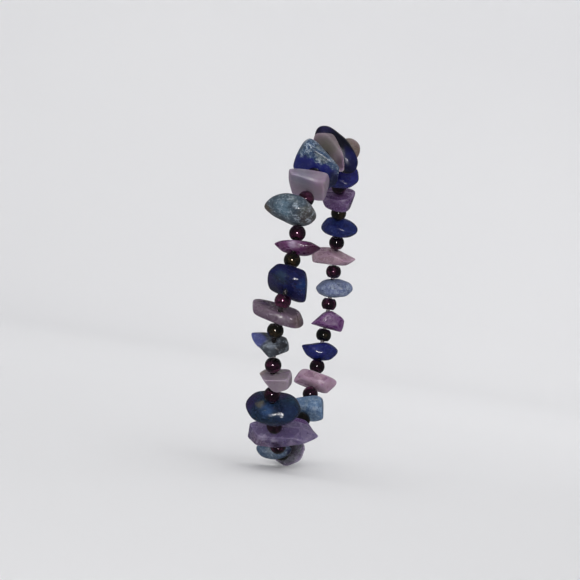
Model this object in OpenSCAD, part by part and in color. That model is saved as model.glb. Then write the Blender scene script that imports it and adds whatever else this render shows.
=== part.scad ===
// Beaded stretch bracelet: drilled stone chips and round glass spacer beads in turn
// on an elastic thread, in the oval that the band takes when it is worn.
// Origin at the middle of the loop, +Z up, X across the band, near side at -Y.
// The loop's size follows from what is strung on it.

/* [Stone chips] */
// Width of a standard chip across the band, before its edges are rounded
chip_w = 10; // [8.5:0.25:12]
// Depth of a standard chip, from the inside of the loop outwards
chip_d = 5; // [4.5:0.25:6]
// Thickness of a standard chip, along the thread
chip_t = 4; // [3.25:0.25:5.5]

/* [Spacer beads] */
// Diameter of a round spacer bead
spacer_d = 2.95; // [2.8:0.05:3.6]
// Length of a spacer bead between its flat ends
spacer_len = 2.2; // [1.6:0.1:2.4]

/* [Thread] */
// Diameter of the elastic thread
thread_d = 0.8; // [0.5:0.05:0.9]
// Play between the thread and the holes, all round
thread_play = 0.1; // [0.05:0.05:0.15]

/* [Loop] */
// Space between neighbours on the thread
bead_gap = 0.2; // [0.18:0.02:0.6]
// Breadth of the loop divided by its height
loop_aspect = 0.79; // [0.7:0.01:1]
// Where the first chip starts, in degrees from the top towards the near side
start_angle = -17.5; // [-180:0.5:180]
// How far the thread wanders across the band
thread_drift = 0.8; // [0:0.1:1.2]

/* [Hidden] */
hole_d = thread_d + 2 * thread_play;
// Longer than any chip or spacer along the thread
drill_len = 4 * chip_t;
// Radius of the flat end of a spacer bead
spacer_end_r = sqrt(pow(spacer_d / 2, 2) - pow(spacer_len / 2, 2));

// Points on a chip's surface, set on a spiral whose steps turn by the golden angle
chip_points = 200;
golden_angle = 180 * (3 - sqrt(5));
// Sides of the thread
thread_sides = 8;
// Steps in which the oval is measured
loop_steps = 360;
// Steps that close in on a chip's rounded surface
surface_steps = 4;
// Degrees between the places on a spacer's rim that are tried against a chip
rim_step = 30;

// How far the front and back of a chip stand off its middle, in shares of half the depth
face_stand = 0.97;
// Tilt of the front and back, and scatter of the corner planes, each times a noise from -1 to 1
face_tilt = 0.18;
crown_rise = 48;
crown_rise_scatter = 12;
crown_clock_scatter = 22;
crown_scatter = 0.08;
// Where each use of the noise starts
WIDE_TILT_KEY = 1;
THICK_TILT_KEY = 3;
CLOCK_KEY = 5;
RISE_KEY = 15;
CROWN_KEY = 25;

// Route of the thread: degrees from the top, and the sideways place in shares of thread_drift
ROUTE = [[0, 0], [60, 0.12], [75, 0.38], [90, 0], [101, -1], [114, -0.5], [126, -0.44], [150, 0.38],
         [180, 0], [360, 0]];

// Outlines of the chips, in shares of half the width to the right and half the thickness downstring
PEBBLE = [[-1, 0], [-0.8, -0.7], [-0.2, -1], [0.6, -0.85], [1, -0.1], [0.85, 0.6], [0.2, 1],
          [-0.6, 0.8]];
SHELL = [[-1, 0], [-0.65, -0.9], [-0.25, -1], [0.7, -0.85], [1, 0.05], [0.95, 0.5], [0.65, 1],
         [-0.4, 1], [-0.95, 0.35]];
FLAKE = [[-0.7, -0.9], [-0.45, -1], [0.6, 0.3], [1, 0.8], [0.9, 1], [-0.9, 1], [-1, 0.7]];
GABLE = [[-1, -1], [-0.55, -0.95], [0.9, 0], [1, 0.1], [0.9, 0.2], [-0.6, 1], [-0.75, 0.7]];
TABLET = [[-1, -0.8], [1, -1], [0.85, 1], [0.5, 0.95], [-0.8, 0.35]];
HALF_MOON = [[-1, 0.2], [-0.65, -0.7], [-0.15, -1], [0.65, -0.7], [1, 0.1], [1, 0.5], [0.55, 0.95],
             [0.2, 1]];
LENS = [[-1, -0.4], [-0.7, -0.9], [0.55, -1], [1, -0.25], [0.55, 0.9], [0.2, 1], [-0.6, 0.7]];
BLOCK = [[-1, 0.45], [-0.75, -0.7], [-0.55, -0.85], [0.7, -1], [1, 0.9], [0.95, 1], [-1, 0.7]];
SLAB = [[-1, -0.95], [0.7, -1], [0.95, 0.3], [1, 0.75], [0.9, 0.9], [-0.7, 1], [-0.9, 0.7]];
WEDGE = [[-1, -1], [0.8, -0.75], [1, -0.5], [1, 0.25], [0.1, 1], [-0.95, -0.6]];
TOOTH = [[-1, -0.65], [0.9, -1], [1, -0.75], [1, 0.3], [0.65, 0.7], [0.1, 1], [-0.2, 0.85],
         [-0.4, 0.6]];
OVAL = [[-1, -0.55], [-0.85, -0.8], [0.7, -1], [1, -0.25], [0.75, 0.35], [0.1, 1], [-0.15, 0.85],
        [-0.95, -0.2]];
SPEAR = [[-0.85, -1], [0.6, -0.8], [0.9, -0.25], [1, 0.1], [0.15, 0.85], [-0.25, 1], [-1, 0.6]];
COBBLE = [[-1, -0.35], [-0.9, -0.75], [-0.35, -1], [0.6, -0.85], [1, -0.1], [0.9, 0.55], [0.2, 1],
          [-0.7, 0.8]];
SPLINTER = [[-1, -0.7], [-0.3, -1], [0.9, 0.75], [1, 1], [-0.35, 0.9]];

// Stones and the colour of each
AMETHYST = "amethyst";
PALE_AMETHYST = "pale_amethyst";
LAPIS = "lapis";
DENIM_LAPIS = "denim_lapis";

// Columns of the chip table. Width, depth and thick are shares of chip_w, chip_d and chip_t.
// Slant tips the right end downstring, lean tips the front downstring, and turn lifts the
// right end outwards, in degrees. Shift and lift carry the chip off its hole to the right and
// outwards, in shares of its half width and half depth. Edge is 9 on a soft pebble and 24 on
// a crisp chip, a lower crown takes more off the corners of the front and back, and belly is
// how far the edges lean in towards the front and back, in degrees.
STONE = 0;
FORM = 1;
WIDTH = 2;
DEPTH = 3;
THICK = 4;
SLANT = 5;
LEAN = 6;
TURN = 7;
SHIFT = 8;
LIFT = 9;
EDGE = 10;
CROWN = 11;
BELLY = 12;
CHIPS = [
    // stone, form, width, depth, thick, slant, lean, turn, shift, lift, edge, crown, belly
    [PALE_AMETHYST, PEBBLE, 0.74, 1.06, 0.82, 12, -8, 30, 0.42, 0.58, 12, 0.95, 18],
    [LAPIS, SHELL, 1.18, 1.04, 0.80, -4, 2, -42, 0.16, 0.26, 14, 0.95, 14],
    [PALE_AMETHYST, FLAKE, 0.96, 1.04, 0.69, 5, 25, -43, 0.28, 0.34, 12, 1.30, 18],
    [DENIM_LAPIS, GABLE, 1.10, 1.24, 1.26, 20, 3, -27, -0.02, 0.12, 16, 1.30, 8],
    [PALE_AMETHYST, TABLET, 0.77, 1.38, 0.85, -5, 12, -3, -0.08, 0.22, 24, 1.30, 4],
    [DENIM_LAPIS, HALF_MOON, 1.05, 1.24, 1.37, 0, -2, -2, -0.39, 0.49, 12, 1.25, 16],
    [AMETHYST, LENS, 0.91, 1.00, 0.67, -4, 2, -3, 0.09, -0.28, 16, 1.05, 18],
    [LAPIS, BLOCK, 0.82, 1.34, 1.00, 7, -28, 2, 0.08, -0.10, 14, 1.40, 6],
    [PALE_AMETHYST, SLAB, 1.11, 0.98, 0.62, 1, 20, -3, -0.05, -0.48, 10, 1.25, 10],
    [DENIM_LAPIS, WEDGE, 0.73, 0.96, 1.11, 1, 15, 6, -0.28, -0.48, 18, 1.20, 18],
    [PALE_AMETHYST, TOOTH, 0.62, 1.00, 0.93, 0, -1, -11, 0.18, -0.05, 20, 1.28, 12],
    [LAPIS, OVAL, 1.16, 1.26, 1.36, 4, 12, -6, -0.01, -0.12, 9, 1.30, 15],
    [AMETHYST, SPEAR, 1.44, 0.96, 1.16, -8, -13, -2, 0.15, -0.32, 20, 1.25, 17],
    [DENIM_LAPIS, COBBLE, 0.74, 0.71, 0.87, 2, -25, -11, -0.33, 0.07, 12, 0.92, 18],
    [PALE_AMETHYST, SPLINTER, 0.55, 1.20, 0.70, 16, 0, 36, 0.52, -0.02, 12, 1.25, 16],
    [LAPIS, OVAL, 0.80, 1.00, 1.00, 4, 0, 0, -0.20, 0.06, 12, 1.10, 20],
    [AMETHYST, LENS, 0.86, 0.96, 0.92, -6, 0, 0, -0.08, 0.06, 16, 1.10, 20],
    [DENIM_LAPIS, TABLET, 0.72, 1.00, 1.08, 5, 0, 0, 0.06, 0.10, 14, 1.20, 8],
    [PALE_AMETHYST, SLAB, 0.92, 0.96, 0.84, -8, 0, 0, 0.10, 0.06, 12, 1.15, 14],
    [LAPIS, HALF_MOON, 0.80, 1.00, 1.08, 0, 0, 15, -0.08, 0.10, 12, 1.10, 20],
    [AMETHYST, TOOTH, 0.70, 0.92, 1.04, 0, 0, 0, 0.08, 0.10, 16, 1.10, 16],
    [DENIM_LAPIS, PEBBLE, 0.84, 1.00, 1.05, 6, 0, 0, 0.14, 0.12, 12, 1.10, 20],
    [PALE_AMETHYST, SPEAR, 0.98, 0.96, 0.95, 0, 0, 0, -0.10, 0.10, 16, 1.10, 18],
    [LAPIS, COBBLE, 0.84, 1.04, 1.05, -6, 0, 0, 0.07, 0.12, 10, 1.10, 20],
    [AMETHYST, BLOCK, 0.72, 0.96, 1.04, 0, 0, 0, -0.06, 0.10, 18, 1.20, 10],
    [LAPIS, WEDGE, 0.82, 1.04, 1.10, 6, 0, -10, 0.06, 0.10, 14, 1.15, 18],
];
chip_count = len(CHIPS);

// Which spacer beads have the bronze finish, counted from 1; the others are purple
BRONZE_PLACES = [3, 7, 9, 14, 17, 20, 24];

function chip_name(i) = str(CHIPS[i][STONE], "_chip_", i < 9 ? "0" : "", i + 1);

function unit(v) = v / norm(v);
function total(v) = v * [for (x = v) 1];
function running(v) = [for (i = 0, s = 0; i <= len(v); s = s + (i < len(v) ? v[i] : 0), i = i + 1) s];
// A number from -1 to 1 that looks random and is the same each time
function noise(a, b) =
    let (v = sin((a * 12.9898 + b * 78.233) * 180 / PI) * 43758.5453)
    2 * (v - floor(v)) - 1;

// Turn of a chip on its hole: lean about its width, slant about its depth, turn about the thread
function about_width(a) = [[1, 0, 0], [0, cos(a), -sin(a)], [0, sin(a), cos(a)]];
function about_depth(a) = [[cos(a), 0, sin(a)], [0, 1, 0], [-sin(a), 0, cos(a)]];
function about_thread(a) = [[cos(a), -sin(a), 0], [sin(a), cos(a), 0], [0, 0, 1]];
function pose(row) = about_thread(row[TURN]) * about_depth(-row[SLANT]) * about_width(row[LEAN]);

function half_size(row) = [chip_w * row[WIDTH], chip_d * row[DEPTH], chip_t * row[THICK]] / 2;
function off_hole(row) =
    let (half = half_size(row)) [row[SHIFT] * half[0], row[LIFT] * half[1], 0];

// Planes that bound a chip of half size 1: a unit normal and a distance. Each edge of the
// outline gives two, then come the front and back, and four corner planes on each.
function edge_planes(form, belly) = [
    for (k = [0 : len(form) - 1])
        let (a = form[k],
             b = form[(k + 1) % len(form)],
             n = unit([b[1] - a[1], a[0] - b[0]]),
             d = n * a,
             s = sign(d))
        for (side = [1, -1])
            [s * n[0] * cos(belly), side * sin(belly), s * n[1] * cos(belly), abs(d) * cos(belly)]
];
function face_planes(i) = [
    for (side = [1, -1])
        let (n = unit([face_tilt * noise(i, WIDE_TILT_KEY + side), side,
                       face_tilt * noise(i, THICK_TILT_KEY + side)]))
        [n[0], n[1], n[2], face_stand]
];
function crown_planes(i, crown) = [
    for (side = [1, -1], q = [0 : 3])
        let (key = q + 4 * side,
             clock = 45 + 90 * q + crown_clock_scatter * noise(i, CLOCK_KEY + key),
             rise = crown_rise + crown_rise_scatter * noise(i, RISE_KEY + key))
        [cos(rise) * cos(clock), side * sin(rise), -cos(rise) * sin(clock),
         crown + crown_scatter * noise(i, CROWN_KEY + key)]
];
// The same planes at full size about the hole, each as the vector m with m * x <= 1
function bounds_of(i) =
    let (row = CHIPS[i],
         half = half_size(row),
         turn = pose(row),
         off = off_hole(row))
    [for (p = concat(edge_planes(row[FORM], row[BELLY]), face_planes(i), crown_planes(i, row[CROWN])))
        let (m = turn * [p[0] / half[0], p[1] / half[1], p[2] / half[2]] / p[3])
        m / (1 + m * off)];
BOUNDS = [for (i = [0 : chip_count - 1]) bounds_of(i)];

// Size of a point against a chip's planes: 1 on the chip's surface, where the planes meet as a
// rounded whole, and less inside it
function size_at(bounds, edge, x) =
    pow(total([for (m = bounds) pow(max(0, m * x), edge)]), 1 / edge);

// Where a line along the thread leaves a chip, up (-1) or down (1) from the point of its rim:
// Newton's steps inwards from the flat planes
function leave_at(bounds, edge, rim, way, z, steps) =
    steps == 0 ? z :
    let (x = rim + [0, 0, way * z],
         size = size_at(bounds, edge, x),
         slope = total([for (m = bounds) way * m[2] * pow(max(0, m * x) / size, edge - 1)]))
    leave_at(bounds, edge, rim, way, z - (size - 1) / slope, steps - 1);
// How far a spacer's flat end stays from a chip's middle, where its rim first meets the chip
function reach(i, way) =
    max([for (a = [0 : rim_step : 360 - rim_step])
        let (rim = spacer_end_r * [cos(a), sin(a), 0],
             flat = min([for (m = BOUNDS[i]) if (way * m[2] > 1e-9) (1 - m * rim) / (way * m[2])]))
        leave_at(BOUNDS[i], CHIPS[i][EDGE], rim, way, flat, surface_steps)]);

// Points of the surface in the directions of the points of an ellipsoid as large as the chip
function surface_points(i) =
    let (row = CHIPS[i],
         half = half_size(row),
         turn = pose(row),
         off = off_hole(row))
    [for (k = [0 : chip_points - 1])
        let (z = 1 - (2 * k + 1) / chip_points,
             r = sqrt(1 - z * z),
             a = k * golden_angle,
             x = off + turn * [half[0] * r * cos(a), half[1] * r * sin(a), half[2] * z])
        x / size_at(BOUNDS[i], row[EDGE], x)];

// Slots on the thread, a chip's and then a spacer's: the lengths up and down from the middle
SLOTS = [for (i = [0 : chip_count - 1]) each [[reach(i, -1), reach(i, 1)],
                                              [spacer_len / 2, spacer_len / 2]]];
slot_count = len(SLOTS);
STARTS = running([for (s = SLOTS) s[0] + s[1] + bead_gap]);

// The oval, measured at height 1 and then made as long as all the slots
function oval(t) = [0, -loop_aspect * sin(t), cos(t)];
RUN = running([for (k = [0 : loop_steps - 1])
    norm(oval(360 * (k + 1) / loop_steps) - oval(360 * k / loop_steps))]);
loop_r = STARTS[slot_count] / RUN[loop_steps];
function run_at(t) = lookup((t + 360) % 360, [for (k = [0 : loop_steps]) [360 * k / loop_steps, RUN[k]]]);
function angle_at(run) =
    lookup(run % RUN[loop_steps], [for (k = [0 : loop_steps]) [RUN[k], 360 * k / loop_steps]]);
function thread_point(t) = [thread_drift * lookup(t, ROUTE), 0, 0] + loop_r * oval(t);
JOINTS = [for (j = [0 : slot_count - 1]) thread_point(angle_at(run_at(start_angle) + STARTS[j] / loop_r))];

// Where a slot lies: its middle, and its width, outward and downstring directions
function slot_frame(j) =
    let (a = JOINTS[j],
         b = JOINTS[(j + 1) % slot_count],
         down = unit(b - a),
         out = unit(cross(down, [1, 0, 0])),
         wide = cross(out, down),
         share = (SLOTS[j][0] + bead_gap / 2) / (SLOTS[j][0] + SLOTS[j][1] + bead_gap),
         mid = a + (b - a) * share)
    [for (r = [0 : 2]) [wide[r], out[r], down[r], mid[r]]];
module on_slot(j) {
    multmatrix(slot_frame(j)) children();
}
module hole(length) {
    cylinder(h = length, d = hole_d, center = true, $fn = 32);
}

function stone_colour(stone) =
    stone == AMETHYST ? [0.50, 0.36, 0.55] :
    stone == PALE_AMETHYST ? [0.66, 0.59, 0.68] :
    stone == LAPIS ? [0.10, 0.14, 0.42] : [0.38, 0.50, 0.60];

module chip(i) {
    color(stone_colour(CHIPS[i][STONE])) on_slot(2 * i) difference() {
        hull() polyhedron(surface_points(i), [[for (k = [0 : chip_points - 1]) k]]);
        hole(drill_len);
    }
}

module spacer() {
    difference() {
        intersection() {
            sphere(d = spacer_d, $fn = 48);
            cube([2 * spacer_d, 2 * spacer_d, spacer_len], center = true);
        }
        hole(drill_len);
    }
}
function is_bronze(i) = len([for (p = BRONZE_PLACES) if (p == i + 1) p]) > 0;
module spacers(bronze) {
    for (i = [0 : chip_count - 1])
        if (is_bronze(i) == bronze) on_slot(2 * i + 1) spacer();
}
module purple_spacers() {
    color([0.30, 0.10, 0.24]) spacers(false);
}
module bronze_spacers() {
    color([0.26, 0.24, 0.12]) spacers(true);
}

// The thread: a ring of points where each two neighbours meet, joined into a closed tube
function ring(j) =
    let (before = JOINTS[(j + slot_count - 1) % slot_count],
         after = JOINTS[(j + 1) % slot_count],
         along = unit(unit(JOINTS[j] - before) + unit(after - JOINTS[j])),
         out = unit(cross(along, [1, 0, 0])),
         wide = cross(out, along))
    [for (s = [0 : thread_sides - 1])
        let (a = 360 * s / thread_sides)
        JOINTS[j] + thread_d / 2 * (cos(a) * wide + sin(a) * out)];
module elastic_thread() {
    faces = [for (j = [0 : slot_count - 1], s = [0 : thread_sides - 1])
        let (a = j * thread_sides,
             b = ((j + 1) % slot_count) * thread_sides,
             t = (s + 1) % thread_sides)
        each [[a + s, b + s, b + t], [a + s, b + t, a + t]]];
    color([0.86, 0.86, 0.84]) polyhedron([for (j = [0 : slot_count - 1]) each ring(j)], faces);
}

for (i = [0 : chip_count - 1])
    chip(i);
purple_spacers();
bronze_spacers();
elastic_thread();
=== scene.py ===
"""Looks of a beaded stretch bracelet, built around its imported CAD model.

Tumbled stone chips of amethyst and lapis and round iris glass spacer beads sit in turn on a clear
elastic thread. All lengths are metres in the CAD model's frame: +X across the band, +Z up, and the
near side at -Y. A chip's own axes are across the band, outwards from the loop and downstring.
"""

import math
from collections import namedtuple

import bpy
import numpy as np
from bpy.props import FloatProperty, FloatVectorProperty, PointerProperty
from mathutils import Matrix, Vector


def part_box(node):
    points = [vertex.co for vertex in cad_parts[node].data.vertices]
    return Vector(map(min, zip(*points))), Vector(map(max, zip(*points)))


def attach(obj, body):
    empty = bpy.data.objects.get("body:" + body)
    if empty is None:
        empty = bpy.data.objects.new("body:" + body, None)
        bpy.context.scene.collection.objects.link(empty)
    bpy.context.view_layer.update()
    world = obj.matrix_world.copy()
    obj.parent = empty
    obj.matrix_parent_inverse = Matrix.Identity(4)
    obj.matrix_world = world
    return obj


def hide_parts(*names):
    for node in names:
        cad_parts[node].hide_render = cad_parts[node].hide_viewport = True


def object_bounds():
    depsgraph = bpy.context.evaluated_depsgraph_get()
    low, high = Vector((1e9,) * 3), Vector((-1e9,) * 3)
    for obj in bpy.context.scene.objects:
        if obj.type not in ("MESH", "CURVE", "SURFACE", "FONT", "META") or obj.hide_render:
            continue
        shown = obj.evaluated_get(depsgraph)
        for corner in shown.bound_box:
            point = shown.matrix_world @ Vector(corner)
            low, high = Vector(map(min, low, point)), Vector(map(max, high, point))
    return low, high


bl_info = {
    "name": "Beaded stretch bracelet",
    "version": (1, 0, 0),
    "blender": (4, 5, 0),
    "location": "View3D > Sidebar > Bracelet",
    "description": "Stone chips and glass spacer beads on an elastic thread",
    "category": "Object",
}

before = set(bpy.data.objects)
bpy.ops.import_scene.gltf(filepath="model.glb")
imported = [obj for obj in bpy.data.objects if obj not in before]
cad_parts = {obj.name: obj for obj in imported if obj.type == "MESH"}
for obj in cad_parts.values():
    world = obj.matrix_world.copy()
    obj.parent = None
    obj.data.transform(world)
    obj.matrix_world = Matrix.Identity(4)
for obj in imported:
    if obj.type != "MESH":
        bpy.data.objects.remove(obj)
CAD_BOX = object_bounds()
MM = 0.001

# The chip table, as in the part's source: stone, form, width, depth and thickness as shares of a
# standard chip, slant, lean and turn in degrees, shift and lift off the hole in shares of the half
# width and half depth, edge from 9 on a soft pebble to 24 on a crisp chip, crown, and belly.
Chip = namedtuple(
    "Chip", "stone form width depth thick slant lean turn shift lift edge crown belly")
CHIPS = [Chip(*row) for row in (
    ("pale_amethyst", "pebble", 0.74, 1.06, 0.82, 12, -8, 30, 0.42, 0.58, 12, 0.95, 18),
    ("lapis", "shell", 1.18, 1.04, 0.80, -4, 2, -42, 0.16, 0.26, 14, 0.95, 14),
    ("pale_amethyst", "flake", 0.96, 1.04, 0.69, 5, 25, -43, 0.28, 0.34, 12, 1.30, 18),
    ("denim_lapis", "gable", 1.10, 1.24, 1.26, 20, 3, -27, -0.02, 0.12, 16, 1.30, 8),
    ("pale_amethyst", "tablet", 0.77, 1.38, 0.85, -5, 12, -3, -0.08, 0.22, 24, 1.30, 4),
    ("denim_lapis", "half_moon", 1.05, 1.24, 1.37, 0, -2, -2, -0.39, 0.49, 12, 1.25, 16),
    ("amethyst", "lens", 0.91, 1.00, 0.67, -4, 2, -3, 0.09, -0.28, 16, 1.05, 18),
    ("lapis", "block", 0.82, 1.34, 1.00, 7, -28, 2, 0.08, -0.10, 14, 1.40, 6),
    ("pale_amethyst", "slab", 1.11, 0.98, 0.62, 1, 20, -3, -0.05, -0.48, 10, 1.25, 10),
    ("denim_lapis", "wedge", 0.73, 0.96, 1.11, 1, 15, 6, -0.28, -0.48, 18, 1.20, 18),
    ("pale_amethyst", "tooth", 0.62, 1.00, 0.93, 0, -1, -11, 0.18, -0.05, 20, 1.28, 12),
    ("lapis", "oval", 1.16, 1.26, 1.36, 4, 12, -6, -0.01, -0.12, 9, 1.30, 15),
    ("amethyst", "spear", 1.44, 0.96, 1.16, -8, -13, -2, 0.15, -0.32, 20, 1.25, 17),
    ("denim_lapis", "cobble", 0.74, 0.71, 0.87, 2, -25, -11, -0.33, 0.07, 12, 0.92, 18),
    ("pale_amethyst", "splinter", 0.55, 1.20, 0.70, 16, 0, 36, 0.52, -0.02, 12, 1.25, 16),
    ("lapis", "oval", 0.80, 1.00, 1.00, 4, 0, 0, -0.20, 0.06, 12, 1.10, 20),
    ("amethyst", "lens", 0.86, 0.96, 0.92, -6, 0, 0, -0.08, 0.06, 16, 1.10, 20),
    ("denim_lapis", "tablet", 0.72, 1.00, 1.08, 5, 0, 0, 0.06, 0.10, 14, 1.20, 8),
    ("pale_amethyst", "slab", 0.92, 0.96, 0.84, -8, 0, 0, 0.10, 0.06, 12, 1.15, 14),
    ("lapis", "half_moon", 0.80, 1.00, 1.08, 0, 0, 15, -0.08, 0.10, 12, 1.10, 20),
    ("amethyst", "tooth", 0.70, 0.92, 1.04, 0, 0, 0, 0.08, 0.10, 16, 1.10, 16),
    ("denim_lapis", "pebble", 0.84, 1.00, 1.05, 6, 0, 0, 0.14, 0.12, 12, 1.10, 20),
    ("pale_amethyst", "spear", 0.98, 0.96, 0.95, 0, 0, 0, -0.10, 0.10, 16, 1.10, 18),
    ("lapis", "cobble", 0.84, 1.04, 1.05, -6, 0, 0, 0.07, 0.12, 10, 1.10, 20),
    ("amethyst", "block", 0.72, 0.96, 1.04, 0, 0, 0, -0.06, 0.10, 18, 1.20, 10),
    ("lapis", "wedge", 0.82, 1.04, 1.10, 6, 0, -10, 0.06, 0.10, 14, 1.15, 18),
)]

# Outlines of the chips, in shares of half the width to the right and half the thickness downstring
FORMS = {
    "pebble": [(-1, 0), (-0.8, -0.7), (-0.2, -1), (0.6, -0.85), (1, -0.1), (0.85, 0.6), (0.2, 1),
               (-0.6, 0.8)],
    "shell": [(-1, 0), (-0.65, -0.9), (-0.25, -1), (0.7, -0.85), (1, 0.05), (0.95, 0.5), (0.65, 1),
              (-0.4, 1), (-0.95, 0.35)],
    "flake": [(-0.7, -0.9), (-0.45, -1), (0.6, 0.3), (1, 0.8), (0.9, 1), (-0.9, 1), (-1, 0.7)],
    "gable": [(-1, -1), (-0.55, -0.95), (0.9, 0), (1, 0.1), (0.9, 0.2), (-0.6, 1), (-0.75, 0.7)],
    "tablet": [(-1, -0.8), (1, -1), (0.85, 1), (0.5, 0.95), (-0.8, 0.35)],
    "half_moon": [(-1, 0.2), (-0.65, -0.7), (-0.15, -1), (0.65, -0.7), (1, 0.1), (1, 0.5),
                  (0.55, 0.95), (0.2, 1)],
    "lens": [(-1, -0.4), (-0.7, -0.9), (0.55, -1), (1, -0.25), (0.55, 0.9), (0.2, 1), (-0.6, 0.7)],
    "block": [(-1, 0.45), (-0.75, -0.7), (-0.55, -0.85), (0.7, -1), (1, 0.9), (0.95, 1),
              (-1, 0.7)],
    "slab": [(-1, -0.95), (0.7, -1), (0.95, 0.3), (1, 0.75), (0.9, 0.9), (-0.7, 1), (-0.9, 0.7)],
    "wedge": [(-1, -1), (0.8, -0.75), (1, -0.5), (1, 0.25), (0.1, 1), (-0.95, -0.6)],
    "tooth": [(-1, -0.65), (0.9, -1), (1, -0.75), (1, 0.3), (0.65, 0.7), (0.1, 1), (-0.2, 0.85),
              (-0.4, 0.6)],
    "oval": [(-1, -0.55), (-0.85, -0.8), (0.7, -1), (1, -0.25), (0.75, 0.35), (0.1, 1),
             (-0.15, 0.85), (-0.95, -0.2)],
    "spear": [(-0.85, -1), (0.6, -0.8), (0.9, -0.25), (1, 0.1), (0.15, 0.85), (-0.25, 1),
              (-1, 0.6)],
    "cobble": [(-1, -0.35), (-0.9, -0.75), (-0.35, -1), (0.6, -0.85), (1, -0.1), (0.9, 0.55),
               (0.2, 1), (-0.7, 0.8)],
    "splinter": [(-1, -0.7), (-0.3, -1), (0.9, 0.75), (1, 1), (-0.35, 0.9)],
}
# Front and back planes, corner planes, the oval of the loop, and the number of points on a
# spacer's rim and of steps that find where it meets a chip, as in the part's source
FACE_STAND, FACE_TILT = 0.97, 0.18
CROWN_RISE, CROWN_RISE_SCATTER, CROWN_CLOCK_SCATTER, CROWN_SCATTER = 48, 12, 22, 0.08
LOOP_ASPECT, LOOP_STEPS = 0.79, 360
START_ANGLE = -17.5
CONTACTS, SURFACE_STEPS = 12, 4
THREAD_DRIFT = 0.8 * MM
# Where each use of the noise starts: those of the part's source, and those of this script
WIDE_TILT_KEY, THICK_TILT_KEY, CLOCK_KEY, RISE_KEY, CROWN_KEY = 1, 3, 5, 15, 25
TINT_KEYS, CRISP_KEY = np.array([41, 42, 43]), 44
CHIP_SPREAD_KEYS, BEAD_SPREAD_KEYS = np.array([51, 52, 53]), np.array([61, 62, 63])
SHELL_TURN_KEY, SHELL_RISE_KEY, SHELL_BALL_KEY, SHELL_DEPTH_KEY = 70, 90, 110, 130
# The patterns of two pieces lie up to this far apart, in millimetres either way
SPREAD = 40
# Route of the thread: degrees from the top, and the sideways place in shares of THREAD_DRIFT
ROUTE = np.array([(0, 0), (60, 0.12), (75, 0.38), (90, 0), (101, -1), (114, -0.5), (126, -0.44),
                  (150, 0.38), (180, 0), (360, 0)], float)
BRONZE_PLACES = (3, 7, 9, 14, 17, 20, 24)

# How the colour of each chip in view differs from its stone's, in shares of red, green and blue,
# how crisply it is broken, which also sets how strongly its sharp edges are painted pale, partly as
# wear and partly as a painted highlight, how much of its stone's pattern it shows, and how dull its
# polish is.
# The others are varied by the chip's number.
LOOKS = {
    # Chip 1's tan colour is not its stone's: it is painted shade and a painted warm reflection
    1: ((0.50, 0.48, 0.30), 0.2, 0.5, 0.3),
    2: ((0.12, 0.07, 0.06), 0.0, 0.3, 0.5),
    3: ((0.58, 0.62, 0.52), 0.0, 0.1, 0.8),
    4: ((0.30, 0.38, 0.60), 0.0, 1.5, 0.2),
    5: ((0.90, 0.92, 0.95), 0.0, 0.15, 0.3),
    6: ((0.36, 0.33, 0.35), 0.0, 0.75, 0.3),
    7: ((0.72, 0.36, 0.52), 0.1, 0.6, 0.1),
    8: ((0.52, 0.46, 0.46), 0.0, 0.3, 0.0),
    9: ((0.43, 0.40, 0.43), 0.0, 0.3, 0.0),
    10: ((0.30, 0.22, 0.22), 0.2, 0.4, 0.2),
    11: ((0.70, 0.74, 0.70), 0.3, 0.3, 0.2),
    12: ((0.62, 1.10, 0.38), 0.0, 0.9, 0.0),
    13: ((0.78, 1.34, 1.00), 0.6, 0.5, 0.0),
    14: ((0.46, 0.46, 0.60), 0.1, 0.5, 0.1),
    15: ((0.38, 0.48, 0.48), 0.3, 0.7, 0.1),
}
# How far the shading of the rounder chips is that of a rounder stone
ROUNDED = {2: 0.7, 3: 0.5, 4: 0.5, 5: 0.5, 8: 0.6, 9: 0.8, 12: 0.85, 14: 0.6}
# How much more than the others a spacer bead in view shows its lighter tones; bead 8's share is a
# painted sheen, a broad highlight put into its colour
BEAD_TONES_AND_SHEEN = {5: 0.06, 6: 0.02, 7: 0.0, 8: 0.14, 10: 0.0, 11: -0.03}
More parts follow.
